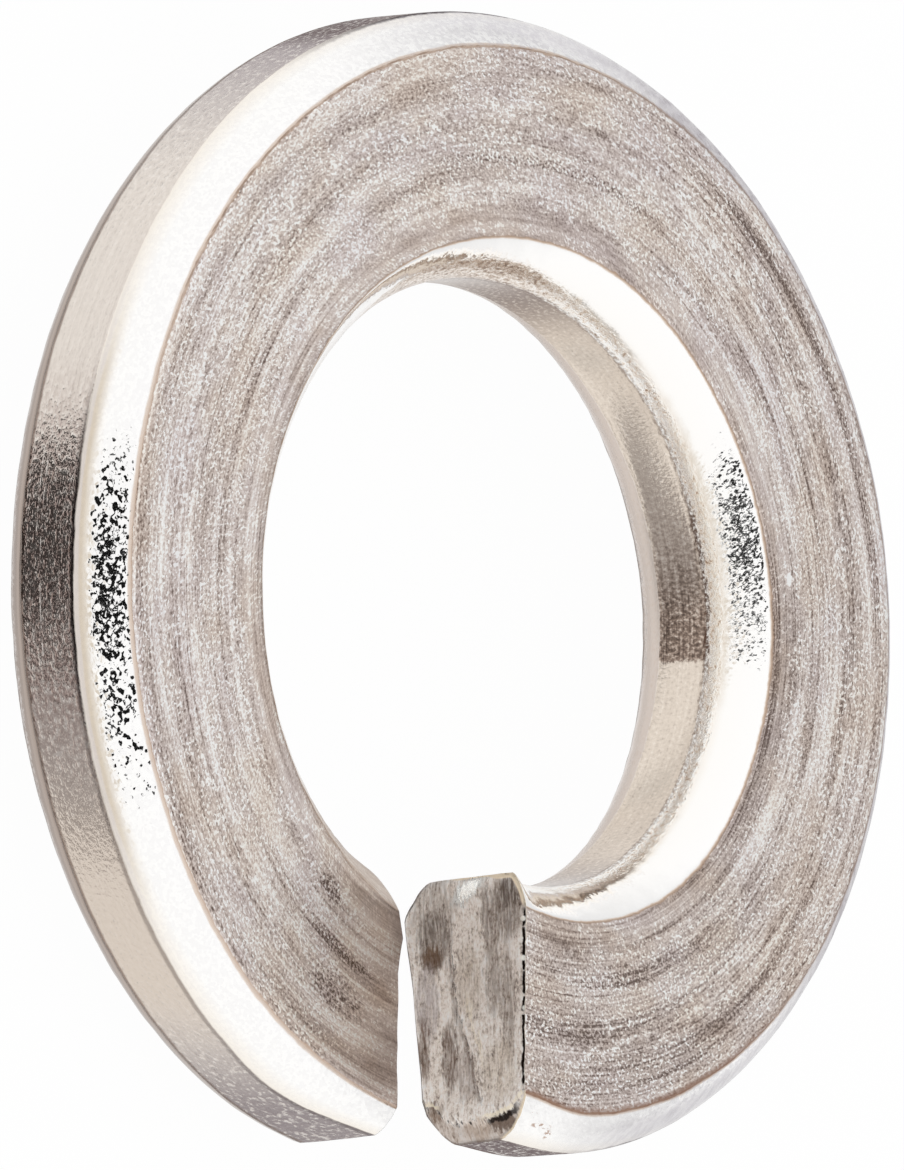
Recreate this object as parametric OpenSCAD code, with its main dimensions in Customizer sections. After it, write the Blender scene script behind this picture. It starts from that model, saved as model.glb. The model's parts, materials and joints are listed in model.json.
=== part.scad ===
// Helical spring lock washer: one turn of keystone wire, coiled left-handed and
// sheared through, so that its two ends stand at different heights.
// The bore's axis is Z, the split faces -Y and the lowest corner lies at z = 0.
// Lengths are in millimetres and angles in degrees.

/* [Ring] */
// Diameter over the rim
outer_diameter = 12.36; // [12:0.02:12.8]
// Diameter of the bore
bore_diameter = 6.6; // [6.4:0.05:6.9]
// Rise of the coil over one full turn
free_rise = 1.59; // [1.4:0.01:1.9]

/* [Wire section] */
// Wire thickness at the bore, the thick side of the keystone
inner_thickness = 1.87; // [1.75:0.01:2]
// Wire thickness at the rim, the thin side of the keystone
outer_thickness = 1.66; // [1.55:0.01:1.8]
// Width of the rim's bevels, measured across the face
rim_bevel_width = 0.42; // [0.2:0.01:0.6]
// Height of the rim's bevels, measured down the wall
rim_bevel_height = 0.46; // [0.2:0.01:0.6]
// Width of the bore's bevels, measured across the face
bore_bevel_width = 0.43; // [0.2:0.01:0.6]
// Height of the bore's bevels, measured down the wall
bore_bevel_height = 0.61; // [0.3:0.01:0.7]
// How far each bevel bulges, as a share of its slope length
bevel_crown = 0.12; // [0.04:0.01:0.14]

/* [Split] */
// Distance between the two ends, from the middle of one wire to the middle of the other
split_width = 0.56; // [0.46:0.01:1]
// Turn of both cuts away from a straight spoke
cut_skew = 15; // [8:0.5:18]
// Lean of the high end's cut, which brings its top edge forward
high_end_lean = 7.3; // [2:0.1:9]
// Lean of the low end's cut, which brings its top edge forward
low_end_lean = 13.6; // [2:0.1:15]

/* [Resolution] */
// Slices in one turn of the wire
slices = 120; // [72:1:160]
// Flats in each crowned bevel
bevel_flats = 5; // [3:1:6]

/* [Hidden] */

rim_radius = outer_diameter / 2;
bore_radius = bore_diameter / 2;
middle_radius = (rim_radius + bore_radius) / 2;
ring_height = free_rise + inner_thickness;
// The swept wire stands this far past the rim and bore, and true cylinders trim it back
trim_allowance = 0.05;
trim_height = 2 * ring_height;
trim_facets = 180;
half_split_angle = asin(split_width / 2 / middle_radius);

// Half the wire's thickness at a given radius
function half_thickness(radius) =
    let (share = (radius - bore_radius) / (rim_radius - bore_radius))
    (inner_thickness + (outer_thickness - inner_thickness) * share) / 2;

// A crowned bevel as [radius, height] points, from the face's edge to just past the wall
function bevel(face_edge, wall_edge) =
    let (
        run = wall_edge - face_edge,
        outward = [sign(run[0]) * abs(run[1]), -sign(run[1]) * abs(run[0])],
        crowned = [
            for (i = [0:bevel_flats])
                let (t = i / bevel_flats)
                face_edge + run * t + outward * (4 * bevel_crown * t * (1 - t))
        ],
        last_flat = crowned[bevel_flats] - crowned[bevel_flats - 1],
        overshoot = trim_allowance / abs(last_flat[0])
    )
    [
        for (i = [0:bevel_flats - 1]) crowned[i],
        wall_edge + last_flat * overshoot
    ];

// One corner of the wire: side is 1 at the top and -1 at the bottom
function corner(face_radius, wall_radius, bevel_height, side) =
    bevel(
        [face_radius, side * half_thickness(face_radius)],
        [wall_radius, side * (half_thickness(wall_radius) - bevel_height)]
    );

function rim_corner(side) =
    corner(rim_radius - rim_bevel_width, rim_radius, rim_bevel_height, side);

function bore_corner(side) =
    corner(bore_radius + bore_bevel_width, bore_radius, bore_bevel_height, side);

function reversed(points) = [for (i = [len(points) - 1:-1:0]) points[i]];

// The keystone section, as [radius, height above the wire's middle]
section = concat(
    rim_corner(1),
    reversed(rim_corner(-1)),
    bore_corner(-1),
    reversed(bore_corner(1))
);
section_size = len(section);

// Angle round the axis from -Y, at which a skewed and leaning cut meets a section point
function cut_angle(point, start_angle, lean) =
    let (
        straight_offset = middle_radius * sin(start_angle - cut_skew),
        lean_offset = point[1] * tan(lean) * cos(cut_skew)
    )
    cut_skew + asin((straight_offset + lean_offset) / point[0]);

function high_end_angle(point) = cut_angle(point, half_split_angle, -high_end_lean);

function low_end_angle(point) = 360 + cut_angle(point, -half_split_angle, low_end_lean);

// Height of the wire's middle: it falls as the angle grows, which makes the coil left-handed
function coil_height(angle) = -free_rise * angle / 360;

lowest_point = [
    bore_radius + bore_bevel_width,
    -half_thickness(bore_radius + bore_bevel_width)
];
ground = coil_height(low_end_angle(lowest_point)) + lowest_point[1];

// A section point set on the coil, share being 0 at the high end and 1 at the low end
function on_coil(point, share) =
    let (
        start = high_end_angle(point),
        angle = start + (low_end_angle(point) - start) * share
    )
    [
        point[0] * sin(angle),
        -point[0] * cos(angle),
        point[1] + coil_height(angle) - ground
    ];

function centre(points) = [for (p = points) 1] * points / len(points);

module coiled_wire() {
    rings = [for (k = [0:slices]) [for (point = section) on_coil(point, k / slices)]];
    high_cap = slices * section_size + section_size;
    low_cap = high_cap + 1;
    last_ring = slices * section_size;
    side_faces = [
        for (k = [0:slices - 1])
            for (i = [0:section_size - 1])
                let (
                    next = (i + 1) % section_size,
                    here = k * section_size,
                    there = here + section_size
                )
                each [
                    [here + i, here + next, there + i],
                    [here + next, there + next, there + i]
                ]
    ];
    cap_faces = [
        for (i = [0:section_size - 1])
            let (next = (i + 1) % section_size)
            each [
                [high_cap, next, i],
                [low_cap, last_ring + i, last_ring + next]
            ]
    ];
    polyhedron(
        points = concat(
            [for (ring = rings) each ring],
            [centre(rings[0]), centre(rings[slices])]
        ),
        faces = concat(side_faces, cap_faces),
        convexity = 6
    );
}

module lock_washer() {
    color("#b3aca4")
        difference() {
            intersection() {
                coiled_wire();
                translate([0, 0, -ring_height / 2])
                    cylinder(r = rim_radius, h = trim_height, $fn = trim_facets);
            }
            translate([0, 0, -ring_height / 2])
                cylinder(r = bore_radius, h = trim_height, $fn = trim_facets);
        }
}

lock_washer();
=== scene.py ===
"""A spring lock washer of worn, barrel-finished stainless steel, dressed over its CAD model."""
import json
import math

import bmesh
import bpy
import numpy as np
from mathutils import Matrix, Vector


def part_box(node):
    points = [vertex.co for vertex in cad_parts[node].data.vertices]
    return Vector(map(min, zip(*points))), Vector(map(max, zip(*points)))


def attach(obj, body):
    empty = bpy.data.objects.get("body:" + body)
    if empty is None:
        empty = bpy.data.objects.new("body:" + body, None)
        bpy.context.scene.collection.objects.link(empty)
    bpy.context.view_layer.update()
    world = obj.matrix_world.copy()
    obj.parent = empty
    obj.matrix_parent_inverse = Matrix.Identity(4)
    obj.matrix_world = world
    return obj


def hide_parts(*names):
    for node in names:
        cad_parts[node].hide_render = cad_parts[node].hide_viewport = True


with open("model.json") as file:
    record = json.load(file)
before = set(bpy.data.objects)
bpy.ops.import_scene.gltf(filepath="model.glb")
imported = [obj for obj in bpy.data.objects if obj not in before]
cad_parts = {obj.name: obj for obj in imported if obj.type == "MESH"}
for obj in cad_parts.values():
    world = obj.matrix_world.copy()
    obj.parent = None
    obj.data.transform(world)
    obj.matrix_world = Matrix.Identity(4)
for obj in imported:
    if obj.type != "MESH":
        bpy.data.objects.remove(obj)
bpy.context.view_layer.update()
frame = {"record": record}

MM = 0.001
MICRON = 0.001 * MM

# ---------------------------------------------------------------- sizes, in mm, as in the part's source
NODE = "lock_washer"
box_low, box_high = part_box(NODE)
RIM_RADIUS = (box_high[0] - box_low[0]) / 2 / MM
BORE_RADIUS = frame["record"]["mounts"][0]["dims"]["r_mm"]
MIDDLE_RADIUS = (RIM_RADIUS + BORE_RADIUS) / 2
FREE_RISE = 1.59
INNER_THICKNESS = 1.87
OUTER_THICKNESS = 1.66
RIM_BEVEL_WIDTH, RIM_BEVEL_HEIGHT = 0.42, 0.46
BORE_BEVEL_WIDTH, BORE_BEVEL_HEIGHT = 0.43, 0.61
SPLIT_WIDTH = 0.56
CUT_SKEW = 15
HIGH_END_LEAN = 7.3
LOW_END_LEAN = 13.6
HALF_SPLIT_ANGLE = math.degrees(math.asin(SPLIT_WIDTH / 2 / MIDDLE_RADIUS))


def half_thickness(radius):
    share = (radius - BORE_RADIUS) / (RIM_RADIUS - BORE_RADIUS)
    return (INNER_THICKNESS + (OUTER_THICKNESS - INNER_THICKNESS) * share) / 2


def cut_angle(radius, height, start_angle, lean):
    offset = MIDDLE_RADIUS * math.sin(math.radians(start_angle - CUT_SKEW))
    offset = offset + height * math.tan(math.radians(lean)) * math.cos(math.radians(CUT_SKEW))
    return CUT_SKEW + np.degrees(np.arcsin(offset / radius))


def high_end_angle(radius, height):
    return cut_angle(radius, height, HALF_SPLIT_ANGLE, -HIGH_END_LEAN)


def low_end_angle(radius, height):
    return 360 + cut_angle(radius, height, -HALF_SPLIT_ANGLE, LOW_END_LEAN)


def coil_height(angle):
    return -FREE_RISE * angle / 360


lowest_radius = BORE_RADIUS + BORE_BEVEL_WIDTH
lowest_height = -half_thickness(lowest_radius)
GROUND = coil_height(low_end_angle(lowest_radius, lowest_height)) + lowest_height

# ---------------------------------------------------------------- seeded smooth noise for the mesh
rng = np.random.default_rng(41)


def smooth_noise(points, wavelengths, modes=36):
    """Band-limited noise near 0, about 1 at its highest; wavelengths are mm along each axis."""
    directions = rng.normal(size=(modes, 3))
    directions /= np.linalg.norm(directions, axis=1)[:, None]
    waves = directions * rng.uniform(0.7, 1.4, (modes, 1)) * 2 * math.pi / np.asarray(wavelengths)
    phases = rng.uniform(0, 2 * math.pi, modes)
    total = np.zeros(points.shape[:-1])
    for wave, phase in zip(waves, phases):
        total += np.sin(points @ wave + phase)
    return total / math.sqrt(modes)


def smoothstep(value, start, end):
    share = np.clip((value - start) / (end - start), 0, 1)
    return share * share * (3 - 2 * share)


# ---------------------------------------------------------------- the wire's section
# Corners run from the top face's outer edge down the rim, along the bottom and up the bore.
def ring_corners():
    rim_face = RIM_RADIUS - RIM_BEVEL_WIDTH
    bore_face = BORE_RADIUS + BORE_BEVEL_WIDTH
    rim_wall = half_thickness(RIM_RADIUS) - RIM_BEVEL_HEIGHT
    bore_wall = half_thickness(BORE_RADIUS) - BORE_BEVEL_HEIGHT
    return np.array([
        (rim_face, half_thickness(rim_face)), (RIM_RADIUS, rim_wall),
        (RIM_RADIUS, -rim_wall), (rim_face, -half_thickness(rim_face)),
        (bore_face, -half_thickness(bore_face)), (BORE_RADIUS, -bore_wall),
        (BORE_RADIUS, bore_wall), (bore_face, half_thickness(bore_face)),
    ])


RING = ring_corners()
HIGH_END = np.array([
    (5.64, 0.842), (6.105, 0.345), (6.114, -0.349), (5.78, -0.785),
    (3.72, -0.995), (3.335, -0.60), (3.345, 0.71), (3.73, 0.919),
])
LOW_END = np.array([
    (5.785, 0.842), (6.09, 0.566), (6.178, -0.32), (5.76, -0.846),
    (3.73, -0.919), (3.30, -0.325), (3.30, 0.40), (3.77, 0.917),
])
HIGH_FADE = np.array([0.55, 0.60, 0.55, 0.50, 0.45, 0.35, 0.30, 0.30])
LOW_FADE = np.array([0.50, 1.15, 0.80, 0.50, 0.50, 0.50, 0.60, 0.60])

# Segments between corners: top rim bevel, rim wall, bottom rim bevel, bottom face,
# bottom bore bevel, bore wall, top bore bevel, top face.
SEGMENTS = (12, 8, 10, 14, 10, 8, 12, 16)
# The folded profile coordinate: 0 at the rim wall's middle, 4 at the bore wall's middle,
# with whole halves at the edges between wall, bevel and face.
PROFILE_ENDS = ((1.5, 0.5), (0.5, 0.5), (0.5, 1.5), (1.5, 2.5),
                (2.5, 3.5), (3.5, 3.5), (3.5, 2.5), (2.5, 1.5))
BEVEL_STARTS_AT_FACE = {0: 1, 2: -1, 4: 1, 6: -1}
CROWN_EARLY, CROWN_LATE = 0.30, 0.20
EDGE_ROUNDING = 0.022
FINE = 24


def section_columns():
    """For each column of vertices: its segment, its share along it and its profile value."""
    columns = []
    for segment, count in enumerate(SEGMENTS):
        start, end = PROFILE_ENDS[segment]
        for step in range(count):
            share = step / count
            if segment in (1, 5):
                middle = 0 if segment == 1 else 4
                edge = start
                profile = edge + (middle - edge) * (1 - abs(1 - 2 * share))
            else:
                profile = start + (end - start) * share
            columns.append((segment, share, profile))
    return columns


COLUMNS = section_columns()


def crowned(start, end, share, segment):
    """A point on a segment; the bevels swell outwards, more so towards their wall."""
    run = end - start
    point = start + run * share
    if segment in BEVEL_STARTS_AT_FACE:
        from_face = share if BEVEL_STARTS_AT_FACE[segment] == 1 else 1 - share
        swell = from_face * (1 - from_face) * (CROWN_EARLY + CROWN_LATE * from_face)
        outward = np.stack([run[..., 1], -run[..., 0]], -1)
        outward = outward * -1
        point = point + outward * swell
    return point


def sections(corners):
    """Rounded section outlines, one row per station, at the columns' places."""
    dense, places = [], []
    for segment, count in enumerate(SEGMENTS):
        start, end = corners[:, segment], corners[:, (segment + 1) % 8]
        steps = FINE * count // 4
        for step in range(steps):
            dense.append(crowned(start, end, step / steps, segment))
        places.append(steps)
    dense = np.stack(dense, 1)
    reach = 12
    offsets = np.arange(-reach, reach + 1)
    # Each segment has its own step length, so the kernel's weights follow true distance.
    total = np.zeros_like(dense)
    weight = np.zeros(dense.shape[:2] + (1,))
    for offset in offsets:
        moved = np.roll(dense, -offset, 1)
        distance = np.linalg.norm(moved - dense, axis=2, keepdims=True)
        spacing = np.linalg.norm(np.roll(moved, -1, 1) - np.roll(moved, 1, 1), axis=2, keepdims=True)
        share = np.exp(-0.5 * (distance / EDGE_ROUNDING) ** 2) * spacing
        total += moved * share
        weight += share
    rounded = total / weight
    starts = np.concatenate([[0], np.cumsum(places)])
    picks = []
    for column in COLUMNS:
        segment, share = column[:2]
        picks.append(int(round(starts[segment] + share * places[segment])))
    tangent = np.roll(rounded, -1, 1) - np.roll(rounded, 1, 1)
    tangent /= np.linalg.norm(tangent, axis=2, keepdims=True)
    normal = np.stack([-tangent[..., 1], tangent[..., 0]], -1)
    return rounded[:, picks], normal[:, picks]


# ---------------------------------------------------------------- stations along the wire
WIRE_LENGTH = 2 * math.pi * MIDDLE_RADIUS - SPLIT_WIDTH
END_ZONE, END_STEPS, MIDDLE_STEPS = 1.4, 120, 776


def stations():
    end_share = END_ZONE / WIRE_LENGTH
    first = np.linspace(0, end_share, END_STEPS, endpoint=False)
    middle = np.linspace(end_share, 1 - end_share, MIDDLE_STEPS, endpoint=False)
    last = np.linspace(1 - end_share, 1, END_STEPS + 1)
    return np.concatenate([first, middle, last])


SHARES = stations()
ALONG = SHARES * WIRE_LENGTH


def station_corners():
    from_high = ALONG[:, None]
    from_low = WIRE_LENGTH - ALONG[:, None]
    high = 1 - smoothstep(from_high, 0, HIGH_FADE[None, :] * 1.6)
    low = 1 - smoothstep(from_low, 0, LOW_FADE[None, :] * 1.25)
    corners = RING[None] + high[..., None] * (HIGH_END - RING)[None]
    corners = corners + low[..., None] * (LOW_END - RING)[None]
    # The tumbled edges wander a little along the wire.
    steady = (1 - high) * (1 - low)
    for corner in range(8):
        line = np.stack([ALONG, np.full_like(ALONG, 3.0 * corner), np.zeros_like(ALONG)], -1)
        slow = smooth_noise(line, (3.2, 9, 9), 14) * 0.010
        quick = smooth_noise(line, (0.5, 9, 9), 14) * 0.0035
        shift = (slow + quick) * steady[:, corner]
        if corner in (0, 3, 4, 7):
            corners[:, corner, 0] += shift
        else:
            corners[:, corner, 1] += shift
    return corners


section_points, section_normals = sections(station_corners())
profile_row = np.array([c[2] for c in COLUMNS])
profile_grid = np.broadcast_to(profile_row, section_points.shape[:2])
along_grid = np.broadcast_to(ALONG[:, None, None], section_points.shape[:2] + (1,))
unrolled = np.concatenate([along_grid, section_points], -1)

bevel_share = np.clip(1 - np.abs(np.abs(profile_grid - 2) - 1) * 2.2, 0, 1)
face_share = np.clip((0.5 - np.abs(profile_grid - 2)) * 8, 0, 1)
relief = smooth_noise(unrolled, (0.34, 0.24, 0.24), 60) * 0.0022 * bevel_share
relief += smooth_noise(unrolled, (3.5, 0.26, 0.6), 40) * 0.0016 * face_share
relief += smooth_noise(unrolled, (0.9, 0.5, 0.5), 40) * 0.0016 * face_share
section_points = section_points + section_normals * (relief - 0.004 * (bevel_share + face_share))[..., None]


def on_coil(radius, height, angle):
    turn = np.radians(angle)
    return np.stack([radius * np.sin(turn), -radius * np.cos(turn), height + coil_height(angle) - GROUND], -1)


def cap_grid(outline, rings):
    """Rings of points from a section's outline towards its middle."""
    middle = np.array([MIDDLE_RADIUS, 0.0])
    return [outline + (middle - outline) * share for share in rings]


CAP_RINGS = 1 - (1 - np.linspace(0, 1, 28)) ** 1.5


def blob(points, radius, height, radius_reach, height_reach):
    """1 at a place on the cut, falling to 0 around it."""
    away = ((points[..., 0] - radius) / radius_reach) ** 2 + ((points[..., 1] - height) / height_reach) ** 2
    return np.exp(-away)


# The last strip of the high end broke off along this line: heights and radii.
STEP_HEIGHTS = (-0.90, -0.79, -0.54, -0.40, 0.13, 0.38, 0.65, 0.80, 0.90)
STEP_RADII = (5.66, 5.69, 5.75, 5.87, 5.92, 5.885, 5.815, 5.67, 5.60)
# A tear runs down the cut between these places.
TEAR_RADII = (3.3, 4.20, 4.56, 4.88, 5.11, 5.36, 5.60, 6.2)
TEAR_HEIGHTS = (-0.25, -0.25, -0.21, -0.145, -0.01, 0.086, 0.034, 0.03)


def cap_relief(points, rim_distance, high_end):
    """How far the sheared surface sinks into the wire, in mm; negative stands out."""
    radius, height = points[..., 0], points[..., 1]
    place = np.stack([np.full(radius.shape, 0.0 if high_end else 7.0), radius, height], -1)
    sink = smooth_noise(place, (9, 1.0, 0.17), 50) * 0.007
    sink += smooth_noise(place, (9, 0.42, 0.30), 50) * 0.006
    sink += smooth_noise(place, (9, 0.16, 0.10), 60) * 0.0022
    sink += 0.022 * np.exp(-rim_distance / 0.03)
    if high_end:
        past_step = radius - np.interp(height, STEP_HEIGHTS, STEP_RADII)
        sink += 0.045 * smoothstep(past_step, -0.015, 0.02) + 0.30 * np.clip(past_step, 0, 1)
        left_of_tear = np.interp(radius, TEAR_RADII, TEAR_HEIGHTS) - height
        tear_depth = smoothstep(radius, 3.9, 4.5) * (1 - smoothstep(radius, 5.55, 5.8))
        sink += 0.020 * smoothstep(left_of_tear, -0.01, 0.05) * tear_depth
        sink += 0.022 * np.exp(-((left_of_tear - 0.015) / 0.022) ** 2) * tear_depth
        sink += 0.034 * blob(points, 3.98, -0.58, 0.30, 0.22)
        sink -= 0.028 * blob(points, 3.50, 0.12, 0.10, 0.30)
        sink += 0.026 * blob(points, 3.66, 0.48, 0.20, 0.14)
        sink -= 0.012 * blob(points, 4.38, 0.02, 0.40, 0.20)
        edge_gap = half_thickness(radius) - height
        fold = np.exp(-((edge_gap - 0.034) / 0.014) ** 2) * smoothstep(radius, 3.72, 3.80)
        sink += 0.050 * fold * (1 - smoothstep(radius, 5.58, 5.66))
    else:
        sink -= 0.070 * blob(points, 4.02, 0.90, 0.14, 0.16)
    return sink


# ---------------------------------------------------------------- mesh assembly
# Material slots: the whole pattern, the cuts, and the stretches that show only a face or only edges.
WHOLE, CUT, FACE_ONLY, EDGES_ONLY = range(4)
FACE_ONLY_PLACES = (0.392, 0.612)
EDGES_ONLY_PLACES = (0.350, 0.648)
THIN_BEVEL_START = 25.5


def body_materials():
    """Which slot each quad along the wire takes, by its place across the section."""
    places = np.stack([profile_row, np.roll(profile_row, -1)]) / 4
    low, high = places.min(0), places.max(0)
    slots = np.full((len(ALONG) - 1, len(profile_row)), WHOLE)
    slots[:, (low > FACE_ONLY_PLACES[0]) & (high < FACE_ONLY_PLACES[1])] = FACE_ONLY
    slots[:, high < EDGES_ONLY_PLACES[0]] = EDGES_ONLY
    bore_side = (low > EDGES_ONLY_PLACES[1])[None] & (ALONG[1:] < THIN_BEVEL_START)[:, None]
    slots[bore_side] = EDGES_ONLY
    return slots.ravel()


def mesh_arrays():
    radius, height = section_points[..., 0], section_points[..., 1]
    caps = []
    for station, end_angle, high_end, sign in ((0, high_end_angle, True, 1), (-1, low_end_angle, False, -1)):
        rings = np.stack(cap_grid(section_points[station], CAP_RINGS))
        distance = np.linalg.norm(rings - section_points[station][None], axis=2)
        sink = cap_relief(rings, distance, high_end)
        angle = end_angle(rings[..., 0], rings[..., 1]) + sign * np.degrees(sink / rings[..., 0])
        caps.append((rings, distance, angle))
    start, end = caps[0][2][0], caps[1][2][0]
    # A column keeps its own cut angles at the ends and slides to the ring's between them.
    start_all = high_end_angle(radius, height) + (start - high_end_angle(radius[0], height[0]))[None]
    end_all = low_end_angle(radius, height) + (end - low_end_angle(radius[-1], height[-1]))[None]
    angle = start_all + (end_all - start_all) * SHARES[:, None]
    body = on_coil(radius, height, angle)
    vertices = [body.reshape(-1, 3)]
    wires = [np.stack([np.broadcast_to(ALONG[:, None], radius.shape), radius, height], -1).reshape(-1, 3)]
    profiles = [profile_grid.reshape(-1)]
    distances = [np.zeros(radius.size)]
    count, columns = radius.shape
    index = np.arange(count * columns).reshape(count, columns)
    quads = np.stack([index[:-1], np.roll(index[:-1], -1, 1), np.roll(index[1:], -1, 1), index[1:]], -1)
    faces = [quads.reshape(-1, 4)]
    cap_faces = []
    offset = count * columns
    for station, (rings, distance, cap_angle) in zip((0, -1), caps):
        inner, centre = rings[1:-1], rings[-1][:1]
        points = on_coil(inner[..., 0], inner[..., 1], cap_angle[1:-1]).reshape(-1, 3)
        middle = on_coil(centre[:, 0], centre[:, 1], cap_angle[-1][:1])
        vertices += [points, middle]
        along = 0.0 if station == 0 else WIRE_LENGTH
        for ring in (inner.reshape(-1, 2), centre):
            wires.append(np.concatenate([np.full((len(ring), 1), along), ring], 1))
        profiles += [np.full(len(points) + 1, 2.0)]
        distances += [distance[1:-1].reshape(-1), distance[-1][:1]]
        ring_index = [index[station]]
        for ring in range(len(rings) - 2):
            ring_index.append(offset + ring * columns + np.arange(columns))
        offset += (len(rings) - 2) * columns + 1
        for outer, inner_ring in zip(ring_index[:-1], ring_index[1:]):
            ring_quads = np.stack([outer, np.roll(outer, -1), np.roll(inner_ring, -1), inner_ring], -1)
            cap_faces += ring_quads.tolist()
        last = ring_index[-1]
        cap_faces += [(a, b, offset - 1) for a, b in zip(last.tolist(), np.roll(last, -1).tolist())]
    faces = faces[0].tolist() + cap_faces
    materials = np.concatenate([body_materials(), np.full(len(cap_faces), CUT)])
    return (np.concatenate(vertices), np.concatenate(wires), np.concatenate(profiles),
            np.concatenate(distances), faces, materials)


def make_wire():
    vertices, wires, profiles, distances, faces, materials = mesh_arrays()
    mesh = bpy.data.meshes.new("wire")
    mesh.from_pydata((vertices * MM).tolist(), [], faces)
    mesh.polygons.foreach_set("material_index", materials.astype(np.int32))
    mesh.polygons.foreach_set("use_smooth", np.ones(len(faces), bool))
    for name, kind, values in (("wire", "FLOAT_VECTOR", wires), ("profile", "FLOAT", profiles),
                               ("inset", "FLOAT", distances)):
        layer = mesh.attributes.new(name, kind, "POINT")
        field = "vector" if kind == "FLOAT_VECTOR" else "value"
        layer.data.foreach_set(field, values.astype(np.float32).ravel())
    mesh.update()
    piece = bpy.data.objects.new("wire", mesh)
    bpy.context.scene.collection.objects.link(piece)
    work = bmesh.new()
    work.from_mesh(mesh)
    bmesh.ops.recalc_face_normals(work, faces=work.faces)
    work.to_mesh(mesh)
    work.free()
    return piece


wire = make_wire()


# ---------------------------------------------------------------- materials
class Nodes:
    """A short way to write node trees."""

    def __init__(self, name):
        self.material = bpy.data.materials.new(name)
        self.material.use_nodes = True
        self.tree = self.material.node_tree
        self.tree.nodes.clear()

    def add(self, kind, inputs=None, **settings):
        node = self.tree.nodes.new(kind)
        for key, value in settings.items():
            setattr(node, key, value)
        for key, value in (inputs or {}).items():
            self.put(node, key, value)
        return node

    def put(self, node, key, value):
        socket = node.inputs[key]
        if isinstance(value, bpy.types.NodeSocket):
            self.tree.links.new(value, socket)
        elif isinstance(value, bpy.types.Node):
            self.tree.links.new(value.outputs[0], socket)
        else:
            socket.default_value = value

    def attribute(self, name, output):
        return self.add("ShaderNodeAttribute", attribute_name=name).outputs[output]

    def math(self, operation, first, second=0.0, third=0.0):
        return self.add("ShaderNodeMath", {0: first, 1: second, 2: third}, operation=operation).outputs[0]

    def times(self, first, *others):
        for other in others:
            first = self.math("MULTIPLY", first, other)
        return first

    def most(self, first, *others):
        for other in others:
            first = self.math("MAXIMUM", first, other)
        return first

    def plus(self, first, second):
        return self.math("ADD", first, second)

    def minus(self, first, second):
        return self.math("SUBTRACT", first, second)

    def scaled(self, value, factor, base):
        """value * factor + base"""
        return self.math("MULTIPLY_ADD", value, factor, base)

    def stretch(self, vector, scale, shift=(0, 0, 0)):
        node = self.add("ShaderNodeMapping", {"Vector": vector, "Scale": scale, "Location": shift})
        return node.outputs[0]

    def noise(self, vector, scale=1.0, detail=2.0, roughness=0.5, distortion=0.0):
        node = self.add("ShaderNodeTexNoise", {
            "Vector": vector, "Scale": scale, "Detail": detail, "Roughness": roughness,
            "Distortion": distortion,
        })
        return node.outputs["Fac"]

    def ramp(self, value, start, end, low=0.0, high=1.0, kind="SMOOTHSTEP"):
        node = self.add("ShaderNodeMapRange", {0: value, 1: start, 2: end, 3: low, 4: high},
                        interpolation_type=kind, clamp=True)
        return node.outputs[0]

    def colours(self, value, stops, interpolation="LINEAR"):
        node = self.add("ShaderNodeValToRGB", {"Fac": value})
        node.color_ramp.interpolation = interpolation
        elements = node.color_ramp.elements
        while len(elements) > 1:
            elements.remove(elements[-1])
        for number, (place, colour) in enumerate(stops):
            element = elements[0] if number == 0 else elements.new(place)
            element.position = place
            element.color = (*linear(colour), 1)
        return node.outputs[0]

    def mix(self, factor, first, second, blend="MIX"):
        node = self.add("ShaderNodeMix", data_type="RGBA", blend_type=blend)
        self.put(node, 0, factor)
        self.put(node, 6, first if not isinstance(first, tuple) else (*linear(first), 1))
        self.put(node, 7, second if not isinstance(second, tuple) else (*linear(second), 1))
        return node.outputs[2]

    def bump(self, height, distance, normal=None, strength=1.0):
        inputs = {"Height": height, "Distance": distance, "Strength": strength}
        node = self.add("ShaderNodeBump", inputs)
        if normal is not None:
            self.put(node, "Normal", normal)
        return node.outputs[0]

    def output(self, shader):
        self.add("ShaderNodeOutputMaterial", {0: shader})
        return self.material


def linear(colour):
    """0-255 display values to scene values."""
    shares = [c / 255 for c in colour]
    return tuple(c / 12.92 if c <= 0.04045 else ((c + 0.055) / 1.055) ** 2.4 for c in shares)


def band(n, value, low, high, soft):
    """1 where value lies between low and high."""
    rise = n.ramp(value, low - soft, low + soft)
    fall = n.ramp(value, high - soft, high + soft, 1.0, 0.0)
    return n.times(rise, fall)


def contrast(n, value, amount, base):
    """base + (value - 0.5) * amount."""
    return n.scaled(n.minus(value, 0.5), amount, base)


# Places across the section: the folded profile over 4.
RIM_EDGE, FACE_EDGE, BORE_FACE_EDGE, BORE_EDGE = 0.125, 0.375, 0.625, 0.875
FACE_ROUGHNESS = 0.34
FACE_RELIEF = 5.0  # micrometres


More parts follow.
